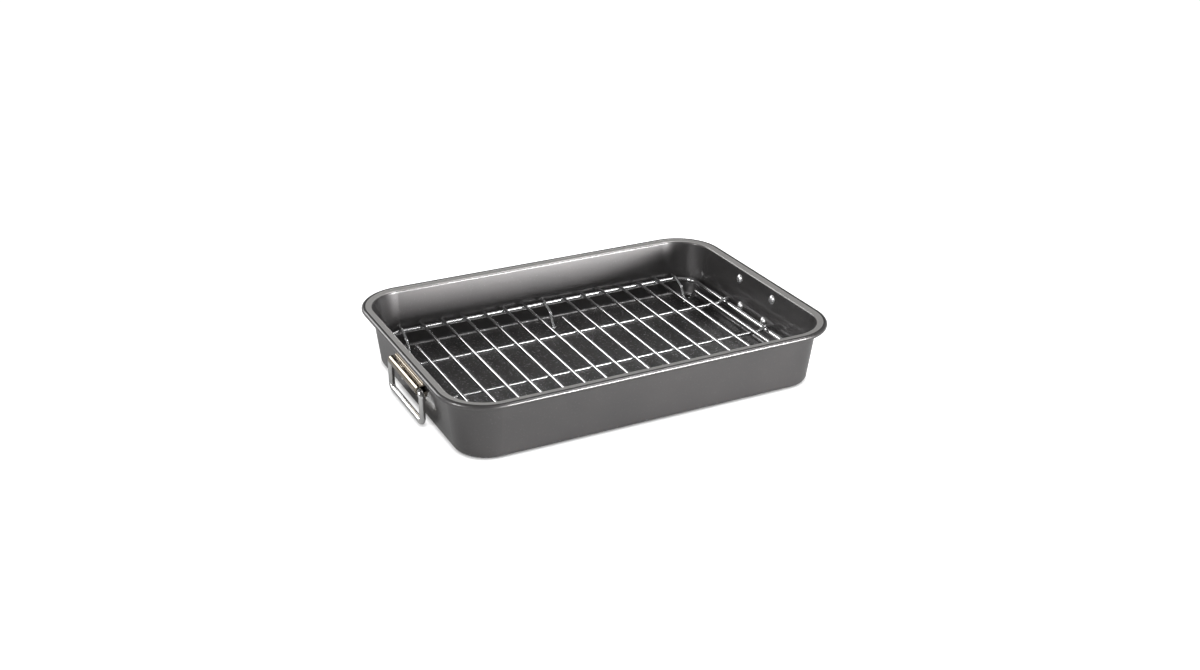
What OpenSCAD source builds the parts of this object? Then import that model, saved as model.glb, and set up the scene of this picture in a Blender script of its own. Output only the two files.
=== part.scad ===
// Roasting pan with a loose wire rack and two swinging wire handles.
// Millimetres. +X runs along the pan, +Y across it, +Z up.
// The origin is the middle of the pan's underside.

/* [Pan] */
// Length of the pan over its rim
pan_l = 406.4; // [360:0.2:460]
// Width of the pan over its rim
pan_w = 287; // [270:0.5:330]
// Height of the pan
pan_h = 62; // [58:0.5:80]
// Thickness of the steel sheet
sheet = 0.9; // [0.6:0.1:1.2]
// Corner radius of the rim's outer edge
rim_r = 48.5; // [44:0.5:56]
// Width of the flat rim, from its outer edge to where it bends down
rim_w = 8.2; // [7.4:0.1:10]
// Outside diameter of the rolled edge
bead_d = 5.2; // [4.4:0.1:6]
// Height of the rolled edge above the flat rim
bead_up = 0.6; // [0.3:0.1:0.9]
// Radius under the rim, where the wall bends outward
lip_r = 1.6; // [1:0.1:2.4]
// Outside radius where the wall meets the floor
floor_r = 5; // [3:0.5:8]
// Slope of the walls from upright, in degrees
draft = 7; // [4:0.5:9]

/* [Handles] */
// Diameter of the handle wire
grip_d = 6; // [5:0.2:6.4]
// Width of a handle between its wire centres
grip_w = 83; // [82:1:110]
// Height of a hanging handle over the table
grip_lift = 0.6; // [0.4:0.1:8]
// Bend radius at the middle of the handle wire
grip_bend = 5; // [4:0.5:7]
// Depth of the hinge below the pan's top, on the end wall
hinge_down = 26.5; // [24:0.5:27]
// Gap between the handle wire and the tunnel that holds it
hinge_gap = 0.25; // [0.15:0.05:0.5]

/* [Brackets] */
// Thickness of the bracket plate
plate_t = 1.2; // [0.8:0.1:1.6]
// Width of the bracket's upper plate and its tunnel
plate_w = 73; // [66:1:74]
// Reach of the upper plate above the hinge
plate_up = 20; // [16:0.5:21]
// Width of the bracket's lower tab
tab_w = 58; // [52:1:66]
// Reach of the lower tab below the hinge
tab_down = 19.5; // [18:0.5:22]
// Corner radius of the plate and the tab
plate_r = 5; // [2:0.5:8]
// Straight part of the tunnel's sides, between the plate and its round
tunnel_off = 2.4; // [1.4:0.1:3]
// Radius where the tunnel runs into the plate
tunnel_r = 1.5; // [0.5:0.1:2.5]

/* [Rivets] */
// Diameter of a rivet's shank
rivet_d = 4.8; // [4:0.2:5.4]
// Clearance of a rivet in its hole, on the diameter
rivet_gap = 0.2; // [0.1:0.05:0.4]
// Diameter of a rivet's head inside the pan
head_d = 10; // [8:0.5:11]
// Height of a rivet's head inside the pan
head_h = 2.4; // [1.6:0.1:3]
// Diameter of a rivet's closed end outside
tail_d = 9; // [7:0.5:9.5]
// Height of a rivet's closed end outside
tail_h = 3; // [1.6:0.1:3.2]
// Distance between the two upper rivets
rivets_up_w = 62; // [56:1:64]
// Height of the upper rivets over the hinge
rivets_up_z = 14.4; // [12:0.2:15]
// Distance between the two lower rivets
rivets_low_w = 44; // [36:1:48]
// Depth of the lower rivets under the hinge
rivets_low_z = 13.4; // [11:0.2:14]

/* [Rack] */
// Gap between the rack's ends and the end walls at the rack's top, where it lies in the middle
rack_end_gap = 5.689; // [5.5:0.001:18]
// Gap between the rack's sides and the long walls at the rack's top
rack_side_gap = 4.439; // [4:0.001:14]
// Height of the rack
rack_h = 26; // [22:0.5:34]
// Distance of the rack's middle from the pan's middle
rack_x = 2.5; // [-3:0.5:3]
// Gap under the rack's feet
rest_gap = 0.3; // [0.2:0.1:0.5]
// Gap between wires that are welded where they cross
weld_gap = 0.05; // [0.02:0.01:0.1]
// Diameter of the frame wire
frame_d = 4.6; // [4:0.2:5]
// Bend radius of the frame's corners at the wire's middle
frame_r = 22; // [18:1:30]
// Reach of a rail past the middle of the frame's end
rail_over = 3.9; // [3:0.1:6]
// Reach of a cross wire past the middle of the frame's side
wire_over = 3.9; // [3:0.1:6]
// Diameter of the two long rails
rail_d = 3.8; // [3:0.2:4.4]
// Distance between the rails
rail_gauge = 79.6; // [70:0.2:90]
// Slope of a rail where it climbs over the frame's end, in degrees
rail_climb = 32; // [25:1:45]
// Distance from the frame's end to the top of that climb
climb_x = 3.6; // [3:0.1:5]
// Bend radius of the rails and the cross wires at the wire's middle
wire_bend = 3; // [2:0.2:3.2]
// Diameter of a cross wire
wire_d = 3.2; // [2.6:0.1:3.6]
// Distance of the outer cross wires from the middle of the frame's ends
first_in = 18.7; // [15:0.1:24]

/* [Rack feet] */
// Distance of a foot's shoulder from the middle of the frame's side
shoulder_in = 18; // [14:0.5:22]
// Drop of that shoulder below the cross wires
shoulder_drop = 6.4; // [4:0.2:9]
// Start of the slope to the shoulder, inside the frame wire's middle
slope_in = 3.4; // [3:0.1:6]
// Distance of a foot's middle from the middle of the frame's side
foot_in = 28.5; // [26.5:0.5:32]
// Length of the flat under a foot
foot_flat = 3.9; // [3.6:0.1:5]
// Distance from the middle of the frame's side to where a foot rejoins the top
rejoin_in = 47.5; // [42:0.5:54]

/* [Hidden] */
$fn = 64;

// One overrun serves every cut
over = 1;
// A straight run of wire or wall reaches this far into a bend, whose section is a hair thicker
seat = 0.15;
swell = 0.02;
// The rack has this many cross wires, and the first, the middle and the last are bent into feet
wire_count = 15;
foot_step = (wire_count - 1) / 2;

// The sheet's section is drawn from the centre of a rim corner
side_l = pan_l / 2 - rim_r;
side_w = pan_w / 2 - rim_r;
rim_z = pan_h - bead_up - sheet;
lip_at = [rim_r - rim_w, rim_z - lip_r];
wall_top = lip_at + lip_r * [-cos(draft), sin(draft)];
wall_foot_z = floor_r * (1 - sin(draft));
wall_foot_x = wall_top.x - (wall_top.y - wall_foot_z) * tan(draft);
floor_at = [wall_foot_x - floor_r * cos(draft), floor_r];

// A wall's outer face at a height, from the centre of a rim corner, and the inner face's distance from it
function wall_out(z) = wall_top.x - (wall_top.y - z) * tan(draft);
wall_in = sheet / cos(draft);

// Hinge line, measured from the wall's outer face
tunnel_in = grip_d / 2 + hinge_gap;
tunnel_out = tunnel_in + plate_t;
hinge_out = tunnel_in + tunnel_off;
hinge_z = pan_h - hinge_down;
hinge_at = [side_l + wall_out(hinge_z) + hinge_out * cos(draft), hinge_z - hinge_out * sin(draft)];
grip_drop = hinge_at.y - grip_d / 2 - grip_lift;

// Rack levels, from the pan's underside to the middle of each wire
rack_z = sheet + rest_gap;
rack_top = rack_z + rack_h;
frame_z = rack_top - rail_d - weld_gap - frame_d / 2;
wire_z = frame_z + frame_d / 2 + weld_gap + wire_d / 2;
rail_z = wire_z - wire_d / 2 - weld_gap - rail_d / 2;
rail_end_z = frame_z + frame_d / 2 + weld_gap + rail_d / 2;
foot_z = rack_z + wire_d / 2;

// The rack's plan follows the pan's inside: half its length and width, the middle of its frame wire,
// and the cross wires spread evenly between the outer two
half_l = side_l + wall_out(rack_top) - wall_in - rack_end_gap;
half_w = side_w + wall_out(rack_top) - wall_in - rack_side_gap;
frame_x = half_l - rail_over;
frame_y = half_w - wire_over;
wire_pitch = 2 * (frame_x - first_in) / (wire_count - 1);

// A wire of round section bent along a flat path, with a round bend at each corner
function heading(a, b) = atan2(b.y - a.y, b.x - a.x);
function wrap(a) = a > 180 ? a - 360 : a <= -180 ? a + 360 : a;
function turn_at(path, i) =
    let (n = len(path), a = path[(i + n - 1) % n], b = path[i], c = path[(i + 1) % n])
    wrap(heading(b, c) - heading(a, b));
function trim_at(path, i, bend) = bend * tan(abs(turn_at(path, i)) / 2);

module bent_wire(path, d, bend, closed = false) {
    n = len(path);
    for (i = [0 : closed ? n - 1 : n - 2]) {
        next = (i + 1) % n;
        from = closed || i > 0 ? trim_at(path, i, bend) - seat : 0;
        to = closed || next < n - 1 ? trim_at(path, next, bend) - seat : 0;
        translate([path[i].x, path[i].y, 0])
            rotate([0, 0, heading(path[i], path[next])])
                translate([from, 0, 0])
                    rotate([0, 90, 0])
                        cylinder(h = norm(path[next] - path[i]) - from - to, d = d);
    }
    for (i = [closed ? 0 : 1 : closed ? n - 1 : n - 2]) {
        turn = turn_at(path, i);
        way = heading(path[(i + n - 1) % n], path[i]);
        translate([path[i].x, path[i].y, 0])
            rotate([0, 0, way])
                translate([-trim_at(path, i, bend), sign(turn) * bend, 0])
                    rotate([0, 0, turn > 0 ? -90 : 90 + turn])
                        rotate_extrude(angle = abs(turn))
                            translate([bend, 0])
                                circle(d = d + swell);
    }
}

// Places its children on an end wall's outer face at the hinge's height,
// with +X square out of the wall and +Z up along it
module on_end_wall(side) {
    rotate([0, 0, side > 0 ? 0 : 180])
        translate([side_l + wall_out(hinge_z), 0, hinge_z])
            rotate([0, draft, 0])
                children();
}

// Both rows of rivet places on an end wall
module each_rivet() {
    for (row = [[rivets_up_w, rivets_up_z], [rivets_low_w, -rivets_low_z]])
        for (side = [-1, 1])
            translate([0, side * row[0] / 2, row[1]])
                rotate([0, 90, 0])
                    children();
}

// Quarter or smaller part of a ring of sheet, between two angles under 180 degrees apart
module sheet_bend(r_in, a, b) {
    reach = 2 * (r_in + sheet);
    intersection() {
        difference() {
            circle(r = r_in + sheet);
            circle(r = r_in);
        }
        polygon([[0, 0], reach * [cos(a), sin(a)],
            reach * [cos((a + b) / 2), sin((a + b) / 2)], reach * [cos(b), sin(b)]]);
    }
}

// Flat rim and rolled edge, from the underside of the flat where it leaves the wall's bend.
// The sheet climbs a little from the flat, rolls outward and down, and ends under the flat with a gap
module rim_section() {
    bead = bead_d / 2;
    centre = [rim_w - bead, bead_up + sheet - bead];
    difference() {
        union() {
            square([centre.x, sheet]);
            translate(centre)
                circle(r = bead);
        }
        translate(centre)
            circle(r = bead - sheet);
        translate([centre.x - bead - over, centre.y])
            square([bead + over, -centre.y]);
    }
}

// Section through floor, wall, rim and rolled edge, from the corner's centre outward
module sheet_section() {
    up = [sin(draft), cos(draft)];
    inward = [-cos(draft), sin(draft)];
    low = [wall_foot_x, wall_foot_z] - seat * up + swell / 2 * inward;
    high = wall_top + seat * up + swell / 2 * inward;
    square([floor_at.x, sheet]);
    translate(floor_at)
        sheet_bend(floor_r - sheet, -90, -draft);
    polygon([low, high, high + (sheet - swell) * inward, low + (sheet - swell) * inward]);
    translate(lip_at)
        sheet_bend(lip_r, 90, 180 - draft);
    translate([lip_at.x, rim_z])
        rim_section();
}

// A straight side of the pan, carried along +X and facing +Y
module pan_side(length) {
    rotate([90, 0, 90])
        linear_extrude(length, center = true)
            sheet_section();
}

module pan_body() color("dimgray") {
    difference() {
        union() {
            translate([-side_l, -side_w, 0])
                cube([2 * side_l, 2 * side_w, sheet]);
            for (turn = [0, 180])
                rotate([0, 0, turn]) {
                    translate([0, side_w, 0])
                        pan_side(2 * side_l);
                    translate([side_l, 0, 0])
                        rotate([0, 0, -90])
                            pan_side(2 * side_w);
                    translate([side_l, side_w, 0])
                        rotate_extrude(angle = 90)
                            sheet_section();
                    translate([-side_l, side_w, 0])
                        rotate([0, 0, 90])
                            rotate_extrude(angle = 90)
                                sheet_section();
                }
        }
        for (side = [-1, 1])
            on_end_wall(side)
                each_rivet()
                    cylinder(h = 2 * (sheet + over), d = rivet_d + rivet_gap, center = true);
    }
}

// Stamped bracket, from above: plate, tunnel with straight sides and a round end, and lower tab in one strip
module bracket_section() {
    difference() {
        union() {
            translate([0, -tab_down])
                square([plate_t, tab_down + plate_up]);
            translate([hinge_out, 0])
                circle(r = tunnel_out);
            translate([0, -tunnel_out])
                square([hinge_out, 2 * tunnel_out]);
            for (side = [-1, 1])
                translate([plate_t, side * tunnel_out])
                    tunnel_fillet(side);
        }
        translate([hinge_out, 0])
            circle(r = tunnel_in);
        translate([-over, -tunnel_in])
            square([over + hinge_out, 2 * tunnel_in]);
    }
}

// Hollow corner between the tunnel's side and the plate
module tunnel_fillet(side) {
    difference() {
        translate([0, side > 0 ? 0 : -tunnel_r])
            square([tunnel_r, tunnel_r]);
        translate([tunnel_r, side * tunnel_r])
            circle(r = tunnel_r);
    }
}

// Rectangle with rounded corners, centred across, from one height to another
module rounded_blank(width, low, high) {
    for (y = [-1, 1])
        for (z = [low + plate_r, high - plate_r])
            translate([y * (width / 2 - plate_r), z])
                circle(r = plate_r);
    translate([-width / 2, low + plate_r])
        square([width, high - low - 2 * plate_r]);
    translate([-width / 2 + plate_r, low])
        square([width - 2 * plate_r, high - low]);
}

// Flat outline of the bracket, seen square onto the wall
module bracket_outline() {
    rounded_blank(plate_w, -tunnel_out - tunnel_r - plate_r, plate_up);
    rounded_blank(tab_w, -tab_down, 0);
}

module bracket(side) color("silver") {
    on_end_wall(side)
        difference() {
            intersection() {
                rotate([90, 0, 0])
                    linear_extrude(plate_w + over, center = true)
                        bracket_section();
                translate([-over, 0, 0])
                    rotate([90, 0, 90])
                        linear_extrude(hinge_out + tunnel_out + 2 * over)
                            bracket_outline();
            }
            each_rivet()
                cylinder(h = 2 * (plate_t + over), d = rivet_d + rivet_gap, center = true);
        }
}

// Low dome, half of its section
module dome_section(d, h) {
    r = (d * d / 4 + h * h) / (2 * h);
    intersection() {
        translate([0, h - r])
            circle(r = r);
        square([d / 2, h]);
    }
}

module rivets(side) color("gainsboro") {
    on_end_wall(side)
        each_rivet()
            rotate_extrude() {
                translate([0, plate_t])
                    dome_section(tail_d, tail_h);
                translate([0, -sheet])
                    square([rivet_d / 2, sheet + plate_t]);
                translate([0, -sheet])
                    mirror([0, 1])
                        dome_section(head_d, head_h);
            }
}

module handle(side) color("gainsboro") {
    half = grip_w / 2;
    rotate([0, 0, side > 0 ? 0 : 180])
        translate([hinge_at.x, 0, hinge_at.y])
            rotate([90, 0, 90])
                bent_wire([[half, 0], [-half, 0], [-half, -grip_drop], [half, -grip_drop]],
                    grip_d, grip_bend, closed = true);
}

module rack_frame() color("gainsboro") {
    translate([rack_x, 0, frame_z])
        bent_wire([[frame_x, frame_y], [-frame_x, frame_y], [-frame_x, -frame_y], [frame_x, -frame_y]],
            frame_d, frame_r, closed = true);
}

// A rail lies under the cross wires and climbs onto the frame at both ends
module rack_rail(side) color("gainsboro") {
    rise = rail_end_z - rail_z;
    top = frame_x - climb_x;
    low = top - rise / tan(rail_climb);
    translate([rack_x, side * rail_gauge / 2, rail_z])
        rotate([90, 0, 0])
            bent_wire([[-half_l, rise], [-top, rise], [-low, 0], [low, 0], [top, rise], [half_l, rise]],
                rail_d, wire_bend);
}

// Half of a footed cross wire's path, from the rack's middle line to its end
foot_path = [
    [frame_y - rejoin_in, wire_z], [frame_y - foot_in - foot_flat / 2, foot_z],
    [frame_y - foot_in + foot_flat / 2, foot_z], [frame_y - shoulder_in, wire_z - shoulder_drop],
    [frame_y - slope_in, wire_z], [half_w, wire_z]
];

module cross_wire(number) color("gainsboro") {
    footed = (number - 1) % foot_step == 0;
    back = footed ? foot_path : [[half_w, wire_z]];
    front = [for (i = [len(back) - 1 : -1 : 0]) [-back[i].x, back[i].y]];
    translate([rack_x + (number - 1) * wire_pitch + first_in - frame_x, 0, 0])
        rotate([90, 0, 90])
            bent_wire(concat(front, back), wire_d, wire_bend);
}

pan_body();
bracket(-1);  // bracket_left
bracket(1);  // bracket_right
rivets(-1);  // rivets_left
rivets(1);  // rivets_right
handle(-1);  // handle_left
handle(1);  // handle_right
rack_frame();
rack_rail(-1);  // rack_rail_front
rack_rail(1);  // rack_rail_back
cross_wire(1);  // cross_wire_01
cross_wire(2);  // cross_wire_02
cross_wire(3);  // cross_wire_03
cross_wire(4);  // cross_wire_04
cross_wire(5);  // cross_wire_05
cross_wire(6);  // cross_wire_06
cross_wire(7);  // cross_wire_07
cross_wire(8);  // cross_wire_08
cross_wire(9);  // cross_wire_09
cross_wire(10);  // cross_wire_10
cross_wire(11);  // cross_wire_11
cross_wire(12);  // cross_wire_12
cross_wire(13);  // cross_wire_13
cross_wire(14);  // cross_wire_14
cross_wire(15);  // cross_wire_15
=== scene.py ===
"""Roasting pan with a wire rack and drop handles: its finishes, welds, stage and camera.

Everything is in metres, +Z up, with +X along the pan's length towards its right handle.
"""
import math

import bpy
import numpy as np
from mathutils import Matrix, Vector


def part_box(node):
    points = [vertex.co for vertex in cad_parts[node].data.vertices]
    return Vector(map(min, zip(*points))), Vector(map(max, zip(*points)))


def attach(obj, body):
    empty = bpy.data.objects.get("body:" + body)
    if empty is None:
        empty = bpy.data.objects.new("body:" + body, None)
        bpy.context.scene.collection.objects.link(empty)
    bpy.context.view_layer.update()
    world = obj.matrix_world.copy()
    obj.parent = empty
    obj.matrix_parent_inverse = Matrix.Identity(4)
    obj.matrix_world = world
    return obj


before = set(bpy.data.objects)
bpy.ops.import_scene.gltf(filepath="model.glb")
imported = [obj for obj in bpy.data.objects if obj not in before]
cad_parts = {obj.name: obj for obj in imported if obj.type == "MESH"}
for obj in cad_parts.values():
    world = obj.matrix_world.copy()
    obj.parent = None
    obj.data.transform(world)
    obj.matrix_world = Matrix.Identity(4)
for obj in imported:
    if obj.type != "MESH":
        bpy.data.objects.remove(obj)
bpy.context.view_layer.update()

bl_info = {
    "name": "Roasting pan",
    "version": (1, 0, 0),
    "blender": (4, 5, 0),
    "location": "3D View > Sidebar > Roasting pan",
    "description": "Finishes a roasting pan with a wire rack and drop handles, and stages it",
    "category": "Object",
}

CROSS_WIRES = sorted(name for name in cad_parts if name.startswith("cross_wire"))
RAILS = ["rack_rail_front", "rack_rail_back"]
HANDLES = ["handle_left", "handle_right"]
BRACKETS = ["bracket_left", "bracket_right"]
RIVETS = ["rivets_left", "rivets_right"]

# Sockets of a Mix node that mixes colours: the share, the first and the second colour, and the result
MIX_INPUTS = (0, 6, 7)
MIX_OUTPUT = 2

# Noise: its middle value, and how fine and how rough its small waves are
NOISE_MIDDLE = 0.5
MOTTLE_DETAIL = 3.0
MOTTLE_ROUGHNESS = 0.55
GRAIN_DETAIL = 2.0

# Specks: the noise value at which one starts, how far full cover lowers it, and how sharp its edge is
SPECK_START = 0.80
SPECK_START_DROP = 0.30
SPECK_SHARPNESS = 12.0

# Greatest height of the bumps
BUMP_DEPTH = 0.0002

# Coating: size and strength of its uneven patches, and how far its roughness varies
COAT_PATCH_SCALE = 18.0
COAT_CONTRAST = 1.1
COAT_ROUGHNESS_SPREAD = 0.06

# Heights over the pan's underside between which the floor's specks fade in, from the walls down
SPECKS_FROM, SPECKS_FULL = 0.004, 0.002

# Depths under the rim's top between which the rim's masks fade in, from below: RIM for the painted seam
# shade, FLAT for the painted sheen on the flat
RIM_FROM, RIM_FULL = 0.004, 0.003
FLAT_FROM, FLAT_FULL = 0.0016, 0.0009

# Width over which the painted sheen on the rim's flat begins behind its seam
FLAT_EDGE = 0.001

# Plating: strength of its uneven patches, how far its roughness starts under the set one, and how far the
# patches raise it and the drawing marks vary it
PLATING_CONTRAST = 1.3
PLATING_ROUGHNESS_DROP = 0.03
PLATING_ROUGHNESS_SPREAD = 0.08
PLATING_STREAKS = 0.10

# Scale of the drawing marks on each axis: a small one stretches them along it
DRAWN_ALONG_X = (0.05, 1.0, 1.0)
DRAWN_ALONG_Y = (1.0, 0.05, 1.0)
BENT_ALONG_Y = (1.0, 0.1, 1.0)
NOT_DRAWN = (1.0, 1.0, 1.0)

# Welds: rings from pole to pole, points round a ring, and the share of the waist that is lost at a pole
WELD_RINGS = 7
WELD_SIDES = 16
WAIST_LOSS_SHARE = 0.25

# Floor: its depth under the pan's underside, and the rays that find what nearly touches it
FLOOR_DEPTH = 0.0003
CONTACT_SAMPLES = 8

# Upward part of a direction at which the studio's walls start to darken and its ceiling is reached
WALL_TOP, CEILING_FROM = 0.10, 0.34

# Lamps: place, width and height, and power in watts
LAMPS = {
    "overhead_softbox": ((0.74, -0.61, 1.47), (0.6, 0.6), 8.0),
    "back_left_softbox": ((-0.85, 1.33, 0.75), (0.8, 0.7), 8.0),
    "front_right_softbox": ((0.72, -1.5, 0.145), (0.65, 0.18), 40.0),
    "left_softbox": ((-1.5, -0.17, 0.67), (0.4, 0.4), 9.0),
}


# Node trees

def sockets(group, way, named):
    """Adds sockets to a group from {name: default}; the default "vector" makes a vector socket."""
    for name, default in named.items():
        if default == "vector":
            group.interface.new_socket(name=name, in_out=way, socket_type="NodeSocketVector")
        else:
            socket = group.interface.new_socket(name=name, in_out=way, socket_type="NodeSocketFloat")
            socket.default_value = default


class Tree:
    """Short hand for wiring one node tree."""

    def __init__(self, tree):
        self.tree = tree
        self.tree.nodes.clear()

    def node(self, kind, **values):
        """Adds a node and sets its own values."""
        made = self.tree.nodes.new(kind)
        for name, value in values.items():
            setattr(made, name, value)
        return made

    def put(self, value, target):
        """Links an output to an input, or sets the input to a plain value."""
        if isinstance(value, bpy.types.NodeSocket):
            self.tree.links.new(value, target)
        else:
            target.default_value = value

    def feed(self, node, **inputs):
        """Puts values into a node's inputs by name; an underscore stands for a space."""
        for name, value in inputs.items():
            self.put(value, node.inputs[name.replace("_", " ")])
        return node

    def maths(self, operation, first, second=0.0):
        """One operation on one or two values."""
        made = self.node("ShaderNodeMath", operation=operation)
        self.put(first, made.inputs[0])
        self.put(second, made.inputs[1])
        return made.outputs[0]

    def ramp(self, value, low, high):
        """Straight map of a value from low..high to 0..1, clamped."""
        made = self.node("ShaderNodeMapRange", clamp=True)
        self.feed(made, Value=value, From_Min=low, From_Max=high)
        return made.outputs["Result"]

    def mix(self, share, first, second):
        """The first colour at share 0, the second at share 1."""
        made = self.node("ShaderNodeMix", data_type="RGBA")
        for index, value in zip(MIX_INPUTS, (share, first, second)):
            self.put(value, made.inputs[index])
        return made.outputs[MIX_OUTPUT]

    def split(self, place):
        """The X, Y and Z of a place."""
        return self.feed(self.node("ShaderNodeSeparateXYZ"), Vector=place).outputs

    def band(self, value, middle, half_width):
        """1 in the middle of a band of values, falling straight to 0 at its edges."""
        away = self.maths("ABSOLUTE", self.maths("SUBTRACT", value, middle))
        return self.ramp(away, half_width, 0.0)

    def choose(self, chosen, value, other):
        """The value where chosen is 1, the other where it is 0."""
        kept = self.maths("MULTIPLY", self.maths("SUBTRACT", 1.0, chosen), other)
        return self.maths("ADD", self.maths("MULTIPLY", chosen, value), kept)


def mottle_group():
    """Slow unevenness of a finish: broad noise that swings about its middle by the contrast."""
    group = bpy.data.node_groups.new("Finish mottle", "ShaderNodeTree")
    sockets(group, "INPUT", {"Place": "vector", "Patch scale": 30.0, "Contrast": 1.0})
    sockets(group, "OUTPUT", {"Mottle": 0.5})
    tree = Tree(group)
    given = tree.node("NodeGroupInput").outputs
    broad = tree.feed(tree.node("ShaderNodeTexNoise"), Vector=given["Place"], Scale=given["Patch scale"],
                      Detail=MOTTLE_DETAIL, Roughness=MOTTLE_ROUGHNESS)
    away = tree.maths("SUBTRACT", broad.outputs["Fac"], NOISE_MIDDLE)
    swing = tree.maths("MULTIPLY", away, given["Contrast"])
    tree.feed(tree.node("NodeGroupOutput"), Mottle=tree.maths("ADD", swing, NOISE_MIDDLE))
    return group


def grain_group():
    """Fine grain: a small-scale noise, its rare high peaks as specks, and a bumped normal."""
    group = bpy.data.node_groups.new("Fine grain", "ShaderNodeTree")
    sockets(group, "INPUT", {"Place": "vector", "Grain scale": 900.0, "Speck cover": 0.3, "Bump": 0.1})
    sockets(group, "OUTPUT", {"Grain": 0.5, "Specks": 0.0, "Normal": "vector"})
    tree = Tree(group)
    given = tree.node("NodeGroupInput").outputs
    noise = tree.feed(tree.node("ShaderNodeTexNoise"), Vector=given["Place"], Scale=given["Grain scale"],
                      Detail=GRAIN_DETAIL)
    fine = noise.outputs["Fac"]
    drop = tree.maths("MULTIPLY", given["Speck cover"], SPECK_START_DROP)
    over = tree.maths("SUBTRACT", fine, tree.maths("SUBTRACT", SPECK_START, drop))
    specks = tree.ramp(tree.maths("MULTIPLY", over, SPECK_SHARPNESS), 0.0, 1.0)
    bump = tree.feed(tree.node("ShaderNodeBump"), Height=fine, Strength=given["Bump"], Distance=BUMP_DEPTH)
    tree.feed(tree.node("NodeGroupOutput"), Grain=fine, Specks=specks, Normal=bump.outputs[0])
    return group


def shared_groups():
    """The node groups that several materials use, built once."""
    made = bpy.data.node_groups
    return {
        "mottle": made.get("Finish mottle") or mottle_group(),
        "grain": made.get("Fine grain") or grain_group(),
    }


def group_node(tree, group, **inputs):
    """Places a shared group in a material with its own values."""
    return tree.feed(tree.node("ShaderNodeGroup", node_tree=group), **inputs)


# Materials

def new_material(name):
    """A material with a bare Principled shader, and the Object coordinates that its patterns read."""
    material = bpy.data.materials.new(name)
    material.use_nodes = True
    tree = Tree(material.node_tree)
    shader = tree.node("ShaderNodeBsdfPrincipled")
    tree.feed(tree.node("ShaderNodeOutputMaterial"), Surface=shader.outputs[0])
    place = tree.node("ShaderNodeTexCoord").outputs["Object"]
    return material, tree, shader, place


def rgba(color):
    """A colour with full alpha."""
    return tuple(color) + (1.0,)


def rim_inset(tree, place, half, corner):
    """Distance of a point inward from the rim's outer edge, which is a rectangle with round corners."""
    split = tree.split(place)
    over = []
    for axis, reach in zip("XY", half):
        side = tree.maths("ABSOLUTE", split[axis])
        over.append(tree.maths("SUBTRACT", side, reach - corner))
    outside = [tree.maths("MAXIMUM", value, 0.0) for value in over]
    squares = [tree.maths("MULTIPLY", value, value) for value in outside]
    round_part = tree.maths("SQRT", tree.maths("ADD", *squares))
    flat_part = tree.maths("MINIMUM", tree.maths("MAXIMUM", *over), 0.0)
    return tree.maths("SUBTRACT", corner, tree.maths("ADD", round_part, flat_part))


def painted_rim_sheen_and_shade(tree, place, tone, finish):
    """A tone with a painted sheen on the rim's flat and, at the flat's outer edge, a dark line of painted
    shade for the seam.
    """
    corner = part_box("pan_body")[1]
    top = corner[2]
    height = tree.split(place)["Z"]
    inset = rim_inset(tree, place, corner[:2], finish.rim_corner)
    # The rim's flat gets a light tone: a painted sheen standing in for the reflection that the flat catches
    past_seam = tree.ramp(inset, finish.seam_inset, finish.seam_inset + FLAT_EDGE)
    on_top = tree.ramp(height, top - FLAT_FROM, top - FLAT_FULL)
    tone = tree.mix(tree.maths("MULTIPLY", past_seam, on_top), tone, rgba(finish.rim_color))
    # The seam is a near-black line of painted shade, standing in for the shadow in the groove between the
    # flat and the rolled edge
    on_rim = tree.ramp(height, top - RIM_FROM, top - RIM_FULL)
    seam = tree.maths("MULTIPLY", tree.band(inset, finish.seam_inset, finish.seam_width), on_rim)
    return tree.mix(tree.maths("MULTIPLY", seam, finish.seam_shade), tone, rgba(finish.painted_seam_shade_color))


def coating_material(groups, finish):
    """Dark grey non-stick coating with a metallic sheen, fine specks on the floor, and a painted sheen and
    painted seam shade on the rim.
    """
    material, tree, shader, place = new_material("nonstick_coating")
    mottle = group_node(tree, groups["mottle"], Place=place, Patch_scale=COAT_PATCH_SCALE,
                        Contrast=COAT_CONTRAST).outputs["Mottle"]
    grain = group_node(tree, groups["grain"], Place=place, Grain_scale=finish.grain_scale,
                       Speck_cover=finish.speck_cover, Bump=finish.peel).outputs
    tone = tree.mix(mottle, rgba(finish.deep_color), rgba(finish.color))
    on_floor = tree.ramp(tree.split(place)["Z"], SPECKS_FROM, SPECKS_FULL)
    cover = tree.choose(on_floor, 1.0, finish.wall_specks)
    tone = tree.mix(tree.maths("MULTIPLY", grain["Specks"], cover), tone, rgba(finish.speck_color))
    tone = painted_rim_sheen_and_shade(tree, place, tone, finish)
    rough = tree.maths("MULTIPLY", mottle, COAT_ROUGHNESS_SPREAD)
    rough = tree.maths("ADD", finish.roughness - COAT_ROUGHNESS_SPREAD / 2, rough)
    tree.feed(shader, Base_Color=tone, Roughness=rough, Normal=grain["Normal"],
              Metallic=finish.metallic, Coat_Weight=finish.gloss, Coat_Roughness=finish.gloss_roughness)
    return material


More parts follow.
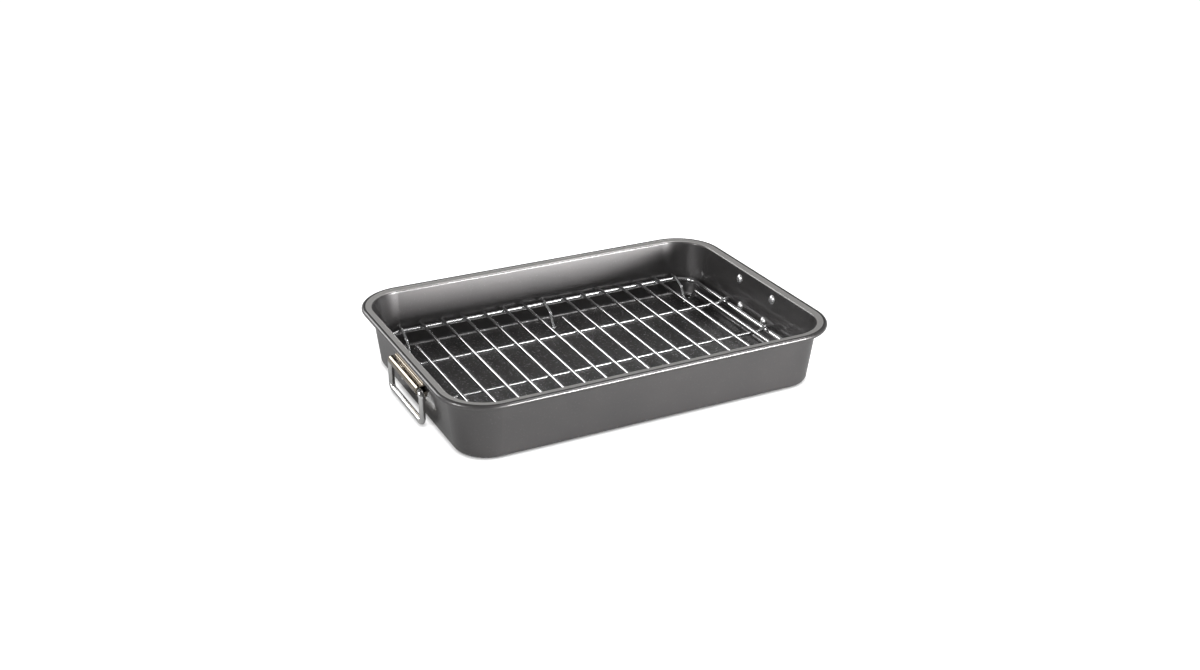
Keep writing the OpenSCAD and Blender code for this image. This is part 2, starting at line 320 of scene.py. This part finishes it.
def plated_material(name, groups, finish, drawn=NOT_DRAWN):
    """Bright plating whose gloss and tone vary slowly, with marks that run the way the metal was drawn."""
    material, tree, shader, place = new_material(name)
    mottle = group_node(tree, groups["mottle"], Place=place, Patch_scale=finish.patch_scale,
                        Contrast=PLATING_CONTRAST).outputs["Mottle"]
    stretched = tree.feed(tree.node("ShaderNodeMapping"), Vector=place, Scale=drawn).outputs[0]
    grain = group_node(tree, groups["grain"], Place=stretched, Grain_scale=finish.mark_scale,
                       Speck_cover=0.0, Bump=finish.marks).outputs
    tone = tree.mix(mottle, rgba(finish.shade_color), rgba(finish.color))
    away = tree.maths("SUBTRACT", grain["Grain"], NOISE_MIDDLE)
    rough = tree.maths("ADD", tree.maths("MULTIPLY", mottle, PLATING_ROUGHNESS_SPREAD),
                       tree.maths("MULTIPLY", away, PLATING_STREAKS))
    rough = tree.maths("ADD", finish.roughness - PLATING_ROUGHNESS_DROP, rough)
    tree.feed(shader, Base_Color=tone, Roughness=rough, Normal=grain["Normal"], Metallic=1.0)
    return material


# Meshes

def mesh_object(name, points, faces, material):
    """A smooth-shaded object at the origin, with its place in its mesh."""
    mesh = bpy.data.meshes.new(name)
    mesh.from_pydata(points.tolist(), [], faces)
    mesh.polygons.foreach_set("use_smooth", np.ones(len(mesh.polygons), bool))
    mesh.materials.append(material)
    mesh.update()
    made = bpy.data.objects.new(name, mesh)
    bpy.context.scene.collection.objects.link(made)
    return made


def dress(names, material):
    """Gives CAD nodes a material in place of their packed one."""
    for name in names:
        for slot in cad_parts[name].material_slots:
            slot.link = "OBJECT"
            slot.material = material


# Welds

def weld_seats():
    """Where the rack's wires cross.

    A row is the point between two wires, and the run of the upper one: 0 along X, 1 along Y.
    """
    frame_low, frame_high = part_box("rack_frame")
    frame_top = frame_high[2]
    frame_radius = (frame_top - frame_low[2]) / 2
    sides_y = (frame_low[1] + frame_radius, frame_high[1] - frame_radius)
    ends_x = (frame_low[0] + frame_radius, frame_high[0] - frame_radius)
    seats = []
    for rail in RAILS:
        low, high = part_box(rail)
        middle = (low[1] + high[1]) / 2
        rail_top = low[2] + high[1] - low[1]
        seats += [(x, middle, frame_top, 0) for x in ends_x]
        seats += [(wire_middle(wire), middle, rail_top, 1) for wire in CROSS_WIRES]
    seats += [(wire_middle(wire), y, frame_top, 1) for wire in CROSS_WIRES for y in sides_y]
    return np.array(seats)


def wire_middle(name):
    """X of a cross wire's axis."""
    low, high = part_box(name)
    return (low[0] + high[0]) / 2


def weld_radius(t, welds):
    """Radius of a weld along the wire that it meets at t = 1.

    Above the middle it grows from the waist with the square of the height, and below it shrinks straight.
    """
    grown = welds.waist + (welds.reach - welds.waist) * ((1 + t) / 2) ** 2
    shrunk = welds.waist * (1 - WAIST_LOSS_SHARE * (1 - t) / 2)
    return np.where(t > 0, grown, shrunk)


def weld_mesh(seats, welds):
    """Saddle-shaped fillets, one at each seat.

    A ring at height t, from -1 to 1, is an ellipse. Its radius along the upper wire is the weld radius at t,
    and its radius along the lower wire is the weld radius at -t. The first and last rings close on a pole.
    """
    t = np.linspace(-1, 1, WELD_RINGS)[:, None]
    turn = np.linspace(0, 2 * np.pi, WELD_SIDES, endpoint=False)[None, :]
    upper = weld_radius(t, welds) * np.cos(turn)
    lower = weld_radius(-t, welds) * np.sin(turn)
    ring = np.stack([upper, lower, welds.half_height * t + 0 * turn], axis=-1)
    poles = np.array([[0, 0, -welds.half_height], [0, 0, welds.half_height]])
    along_x = np.concatenate([ring.reshape(-1, 3), poles])
    along_y = along_x[:, [1, 0, 2]] * [-1, 1, 1]
    run = seats[:, 3:4, None]
    points = seats[:, None, :3] + run * along_y + (1 - run) * along_x
    return points.reshape(-1, 3), weld_faces(len(along_x), len(seats))


def weld_faces(points, copies):
    """Quads between neighbouring rings and triangles round the two poles, for every copy."""
    row, step = np.meshgrid(np.arange(WELD_RINGS - 1), np.arange(WELD_SIDES), indexing="ij")
    after = (step + 1) % WELD_SIDES
    this, above = row * WELD_SIDES, (row + 1) * WELD_SIDES
    sides = np.stack([this + step, this + after, above + after, above + step], axis=-1).reshape(-1, 4)
    last = (WELD_RINGS - 1) * WELD_SIDES
    low_pole = np.full(WELD_SIDES, WELD_RINGS * WELD_SIDES)
    bottom = np.stack([after[0], step[0], low_pole], axis=-1)
    top = np.stack([last + step[0], last + after[0], low_pole + 1], axis=-1)
    offset = points * np.arange(copies)[:, None, None]
    quads = (sides + offset).reshape(-1, 4)
    triangles = (np.concatenate([bottom, top]) + offset).reshape(-1, 3)
    return quads.tolist() + triangles.tolist()


# Settings

class CoatingSettings(bpy.types.PropertyGroup):
    """The pan's coating"""
    color: bpy.props.FloatVectorProperty(
        name="Colour", description="Lighter tone of the coating",
        default=(0.137, 0.130, 0.129), subtype="COLOR")
    deep_color: bpy.props.FloatVectorProperty(
        name="Deep colour", description="Darker tone of the coating",
        default=(0.108, 0.106, 0.107), subtype="COLOR")
    speck_color: bpy.props.FloatVectorProperty(
        name="Speck colour", description="Colour of the specks in the coating",
        default=(0.70, 0.70, 0.72), subtype="COLOR")
    # The rim's light tone is a painted sheen standing in for the flat's reflection, not a colour of the
    # coating
    rim_color: bpy.props.FloatVectorProperty(
        name="Painted rim sheen", description="Tone of the rim's flat, where the coating is smooth",
        default=(0.84, 0.82, 0.80), subtype="COLOR")
    # The seam's dark tone is painted shade standing in for the groove's shadow, not a colour of the coating
    painted_seam_shade_color: bpy.props.FloatVectorProperty(
        name="Painted seam shade", description="Tone of the seam between the rim's flat and its rolled edge",
        default=(0.02, 0.02, 0.02), subtype="COLOR")
    grain_scale: bpy.props.FloatProperty(
        name="Grain scale", description="Fineness of the grain", default=650.0)
    speck_cover: bpy.props.FloatProperty(
        name="Speck cover", description="How many specks the floor has", default=0.58, subtype="FACTOR")
    wall_specks: bpy.props.FloatProperty(
        name="Wall specks", description="Strength of the specks off the floor",
        default=0.04, subtype="FACTOR")
    roughness: bpy.props.FloatProperty(
        name="Roughness", description="Spread of the coating's broad sheen", default=0.40, subtype="FACTOR")
    gloss: bpy.props.FloatProperty(
        name="Gloss", description="Strength of the clearer reflection on top", default=0.8, subtype="FACTOR")
    gloss_roughness: bpy.props.FloatProperty(
        name="Gloss roughness", description="Spread of the clearer reflection",
        default=0.14, subtype="FACTOR")
    metallic: bpy.props.FloatProperty(
        name="Metallic", description="Metal sheen of the coating", default=0.85, subtype="FACTOR")
    peel: bpy.props.FloatProperty(
        name="Orange peel", description="Strength of the fine waviness", default=0.08, subtype="FACTOR")
    rim_corner: bpy.props.FloatProperty(
        name="Rim corner", description="Corner radius of the rim", default=0.0485, unit="LENGTH")
    seam_inset: bpy.props.FloatProperty(
        name="Seam inset", description="Distance of the seam from the rim's edge",
        default=0.0032, unit="LENGTH")
    seam_width: bpy.props.FloatProperty(
        name="Seam width", description="Half the width of the seam", default=0.0009, unit="LENGTH")
    seam_shade: bpy.props.FloatProperty(
        name="Seam shade", description="How dark the seam is", default=1.0, subtype="FACTOR")


def plating(color, shade, roughness, patch_scale=60.0, mark_scale=700.0, marks=0.02):
    """Properties of one plating, with its own defaults."""
    return {
        "color": bpy.props.FloatVectorProperty(
            name="Colour", description="Colour of the plating", default=color, subtype="COLOR"),
        "shade_color": bpy.props.FloatVectorProperty(
            name="Shade colour", description="Duller tone of the plating", default=shade, subtype="COLOR"),
        "roughness": bpy.props.FloatProperty(
            name="Roughness", description="Gloss of the plating", default=roughness, subtype="FACTOR"),
        "patch_scale": bpy.props.FloatProperty(
            name="Patch scale", description="Fineness of the uneven gloss", default=patch_scale),
        "mark_scale": bpy.props.FloatProperty(
            name="Mark scale", description="Fineness of the drawing marks", default=mark_scale),
        "marks": bpy.props.FloatProperty(
            name="Marks", description="Strength of the drawing marks", default=marks, subtype="FACTOR"),
    }


class RackSettings(bpy.types.PropertyGroup):
    """The rack's plating"""
    __annotations__ = plating((0.86, 0.86, 0.86), (0.72, 0.72, 0.73), 0.12)


class HandleSettings(bpy.types.PropertyGroup):
    """The handles' plating"""
    __annotations__ = plating((0.88, 0.88, 0.87), (0.78, 0.78, 0.78), 0.09)


class BracketSettings(bpy.types.PropertyGroup):
    """The brackets' plating"""
    __annotations__ = plating((0.45, 0.40, 0.33), (0.30, 0.265, 0.22), 0.11, patch_scale=90.0, marks=0.03)


class RivetSettings(bpy.types.PropertyGroup):
    """The rivets' metal"""
    __annotations__ = plating((0.94, 0.94, 0.94), (0.86, 0.86, 0.86), 0.30, patch_scale=160.0, marks=0.05)


class WeldSettings(bpy.types.PropertyGroup):
    """The rack's spot welds"""
    waist: bpy.props.FloatProperty(
        name="Waist", description="Radius of a weld between its wires", default=0.0012, unit="LENGTH")
    reach: bpy.props.FloatProperty(
        name="Reach", description="Radius of a weld along a wire", default=0.0021, unit="LENGTH")
    half_height: bpy.props.FloatProperty(
        name="Half height", description="Reach of a weld into each wire", default=0.0005, unit="LENGTH")


class StageSettings(bpy.types.PropertyGroup):
    """The floor and the studio round it"""
    floor_color: bpy.props.FloatVectorProperty(
        name="Floor colour", description="Colour of the floor", default=(0.70, 0.70, 0.70), subtype="COLOR")
    floor_size: bpy.props.FloatProperty(
        name="Floor size", description="Side of the floor", default=12.0, unit="LENGTH")
    floor_glow: bpy.props.FloatProperty(
        name="Floor glow", description="Light that the floor shows to the eye", default=0.85)
    # Reach of the painted contact shadow that dims the floor's glow under the pan
    contact_reach: bpy.props.FloatProperty(
        name="Contact reach", description="Height below which a piece dims the floor's glow under it",
        default=0.004, unit="LENGTH")
    sky_light: bpy.props.FloatProperty(
        name="Sky light", description="Even light from all round", default=0.25)
    horizon: bpy.props.FloatProperty(
        name="Horizon", description="Tone of the studio's walls in mirrors", default=0.3, subtype="FACTOR")
    ceiling: bpy.props.FloatProperty(
        name="Ceiling", description="Tone of the studio's ceiling in mirrors", default=0.2, subtype="FACTOR")


class CameraSettings(bpy.types.PropertyGroup):
    """The camera's place, aim and lens"""
    azimuth: bpy.props.FloatProperty(
        name="Azimuth", description="Turn about the pan, 0 looks at the front side",
        default=math.radians(-27.24), unit="ROTATION")
    elevation: bpy.props.FloatProperty(
        name="Elevation", description="Height over the horizon",
        default=math.radians(23.93), unit="ROTATION")
    roll: bpy.props.FloatProperty(
        name="Roll", description="Tilt of the picture", default=math.radians(0.55), unit="ROTATION")
    distance: bpy.props.FloatProperty(
        name="Distance", description="From the camera to its aim", default=1.42669, unit="LENGTH")
    aim: bpy.props.FloatVectorProperty(
        name="Aim", description="Point that the camera looks at", default=(0.00811, 0.00946, 0.05941),
        subtype="XYZ", unit="LENGTH")
    lens: bpy.props.FloatProperty(
        name="Lens", description="Focal length in millimetres", default=43.0)
    shift_x: bpy.props.FloatProperty(
        name="Shift X", description="Sideways shift of the picture", default=0.0039)
    shift_y: bpy.props.FloatProperty(
        name="Shift Y", description="Upward shift of the picture", default=-0.0222)


# Operators

class ROASTER_OT_coat_pan(bpy.types.Operator):
    """Coats the pan body"""
    bl_idname = "roaster.coat_pan"
    bl_label = "Coat the pan"

    def execute(self, context):
        dress(["pan_body"], coating_material(shared_groups(), context.scene.roaster_coating))
        return {"FINISHED"}


class ROASTER_OT_plate_rack(bpy.types.Operator):
    """Plates the rack's wires, with drawing marks along each wire"""
    bl_idname = "roaster.plate_rack"
    bl_label = "Plate the rack"

    def execute(self, context):
        finish = context.scene.roaster_rack
        groups = shared_groups()
        dress(["rack_frame"] + RAILS, plated_material("rack_chrome_long", groups, finish, DRAWN_ALONG_X))
        dress(CROSS_WIRES, plated_material("rack_chrome_cross", groups, finish, DRAWN_ALONG_Y))
        return {"FINISHED"}


class ROASTER_OT_weld_rack(bpy.types.Operator):
    """Adds the spot welds where the rack's wires cross"""
    bl_idname = "roaster.weld_rack"
    bl_label = "Weld the rack"

    def execute(self, context):
        scene = context.scene
        points, faces = weld_mesh(weld_seats(), scene.roaster_weld)
        material = plated_material("weld_chrome", shared_groups(), scene.roaster_rack)
        welds = mesh_object("rack_welds", points, faces, material)
        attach(welds, "rack")
        return {"FINISHED"}


class ROASTER_OT_plate_handles(bpy.types.Operator):
    """Plates the two handles"""
    bl_idname = "roaster.plate_handles"
    bl_label = "Plate the handles"

    def execute(self, context):
        finish = context.scene.roaster_handle
        dress(HANDLES, plated_material("handle_chrome", shared_groups(), finish, BENT_ALONG_Y))
        return {"FINISHED"}


class ROASTER_OT_finish_brackets(bpy.types.Operator):
    """Finishes the brackets and their rivets"""
    bl_idname = "roaster.finish_brackets"
    bl_label = "Finish the brackets"

    def execute(self, context):
        scene = context.scene
        groups = shared_groups()
        dress(BRACKETS, plated_material("bracket_plating", groups, scene.roaster_bracket, BENT_ALONG_Y))
        dress(RIVETS, plated_material("rivet_steel", groups, scene.roaster_rivet))
        return {"FINISHED"}


class ROASTER_OT_stage(bpy.types.Operator):
    """Makes the floor, the world, the lamps and the camera"""
    bl_idname = "roaster.stage"
    bl_label = "Set the stage"

    def execute(self, context):
        stage = context.scene.roaster_stage
        make_floor(stage)
        make_world(stage)
        for name, (place, size, power) in LAMPS.items():
            make_lamp(name, place, size, power)
        make_camera(context.scene.roaster_camera)
        context.scene.view_settings.view_transform = "Standard"
        return {"FINISHED"}


# Stage

def seen_by_eye(tree, path):
    """1 for what the camera sees, also through glass, and 0 for mirrors and light."""
    return tree.maths("MAXIMUM", path["Is Camera Ray"], path["Is Transmission Ray"])


def make_floor(stage):
    """A pale floor that looks white to the eye, dimmer where a piece nearly touches it: a painted contact
    shadow.
    """
    half = stage.floor_size / 2
    corners = half * np.array([[-1, -1, 0], [1, -1, 0], [1, 1, 0], [-1, 1, 0]]) - [0, 0, FLOOR_DEPTH]
    material = bpy.data.materials.new("pale_floor")
    material.use_nodes = True
    tree = Tree(material.node_tree)
    eye = seen_by_eye(tree, tree.node("ShaderNodeLightPath").outputs)
    # Occlusion dims the floor's glow under the pan into a painted contact shadow
    open_sky = tree.feed(tree.node("ShaderNodeAmbientOcclusion", samples=CONTACT_SAMPLES),
                         Distance=stage.contact_reach)
    seen = tree.maths("MULTIPLY", tree.maths("MULTIPLY", eye, open_sky.outputs["AO"]), stage.floor_glow)
    diffuse = tree.feed(tree.node("ShaderNodeBsdfDiffuse"), Color=rgba(stage.floor_color))
    glow = tree.feed(tree.node("ShaderNodeEmission"), Color=(1, 1, 1, 1), Strength=seen)
    both = tree.node("ShaderNodeAddShader")
    tree.put(diffuse.outputs[0], both.inputs[0])
    tree.put(glow.outputs[0], both.inputs[1])
    tree.feed(tree.node("ShaderNodeOutputMaterial"), Surface=both.outputs[0])
    mesh_object("floor", corners, [[0, 1, 2, 3]], material)


def make_world(stage):
    """White to the eye, grey walls under a darker ceiling in mirrors, and even light for all else."""
    world = bpy.data.worlds.new("studio")
    world.use_nodes = True
    tree = Tree(world.node_tree)
    path = tree.node("ShaderNodeLightPath").outputs
    upward = tree.split(tree.node("ShaderNodeTexCoord").outputs["Generated"])["Z"]
    fall = tree.maths("MULTIPLY", tree.ramp(upward, WALL_TOP, CEILING_FROM), stage.horizon - stage.ceiling)
    mirror = tree.maths("SUBTRACT", stage.horizon, fall)
    strength = tree.choose(path["Is Glossy Ray"], mirror, stage.sky_light)
    strength = tree.choose(seen_by_eye(tree, path), 1.0, strength)
    light = tree.feed(tree.node("ShaderNodeBackground"), Color=(1, 1, 1, 1), Strength=strength)
    tree.feed(tree.node("ShaderNodeOutputWorld"), Surface=light.outputs[0])
    bpy.context.scene.world = world


def make_lamp(name, place, size, power):
    """A soft rectangular lamp that faces the pan."""
    light = bpy.data.lights.new(name, "AREA")
    light.shape = "RECTANGLE"
    light.size, light.size_y = size
    light.energy = power
    made = bpy.data.objects.new(name, light)
    made.location = place
    made.rotation_euler = (-Vector(place)).to_track_quat("-Z", "Y").to_euler()
    bpy.context.scene.collection.objects.link(made)


def make_camera(view):
    """The camera on a ball round its aim, at its azimuth and elevation, tilted by its roll."""
    flat = math.cos(view.elevation)
    back = Vector((math.sin(view.azimuth) * flat, -math.cos(view.azimuth) * flat, math.sin(view.elevation)))
    right = (-back).cross(Vector((0, 0, 1))).normalized()
    up = right.cross(-back)
    tilted = right * math.cos(view.roll) + up * math.sin(view.roll)
    upright = up * math.cos(view.roll) - right * math.sin(view.roll)
    camera = bpy.data.cameras.new("camera")
    camera.lens, camera.shift_x, camera.shift_y = view.lens, view.shift_x, view.shift_y
    made = bpy.data.objects.new("camera", camera)
    turn = Matrix((tilted, upright, back)).transposed()
    made.matrix_world = Matrix.Translation(Vector(view.aim) + back * view.distance) @ turn.to_4x4()
    bpy.context.scene.collection.objects.link(made)
    bpy.context.scene.camera = made


# Registration

STEPS = [ROASTER_OT_coat_pan, ROASTER_OT_plate_rack, ROASTER_OT_weld_rack, ROASTER_OT_plate_handles,
         ROASTER_OT_finish_brackets, ROASTER_OT_stage]
SETTINGS = {
    "roaster_coating": CoatingSettings,
    "roaster_rack": RackSettings,
    "roaster_weld": WeldSettings,
    "roaster_handle": HandleSettings,
    "roaster_bracket": BracketSettings,
    "roaster_rivet": RivetSettings,
    "roaster_stage": StageSettings,
    "roaster_camera": CameraSettings,
}


class ROASTER_PT_panel(bpy.types.Panel):
    """Lists the steps and their sizes and colours"""
    bl_idname = "ROASTER_PT_panel"
    bl_label = "Roasting pan"
    bl_space_type = "VIEW_3D"
    bl_region_type = "UI"
    bl_category = "Roasting pan"

    def draw(self, context):
        for step in STEPS:
            self.layout.operator(step.bl_idname)
        for name, settings in SETTINGS.items():
            box = self.layout.box()
            for prop in settings.__annotations__:
                box.prop(getattr(context.scene, name), prop)


def register():
    """Registers the classes and puts the settings on the scene."""
    for kind in [*SETTINGS.values(), *STEPS, ROASTER_PT_panel]:
        bpy.utils.register_class(kind)
    for name, settings in SETTINGS.items():
        setattr(bpy.types.Scene, name, bpy.props.PointerProperty(type=settings))


def unregister():
    """Takes the settings off the scene and unregisters the classes."""
    for name in SETTINGS:
        delattr(bpy.types.Scene, name)
    for kind in [ROASTER_PT_panel, *reversed(STEPS), *SETTINGS.values()]:
        bpy.utils.unregister_class(kind)


def main():
    """Runs every step in order."""
    register()
    bpy.ops.roaster.coat_pan()
    bpy.ops.roaster.plate_rack()
    bpy.ops.roaster.weld_rack()
    bpy.ops.roaster.plate_handles()
    bpy.ops.roaster.finish_brackets()
    bpy.ops.roaster.stage()


if __name__ == "__main__":
    main()
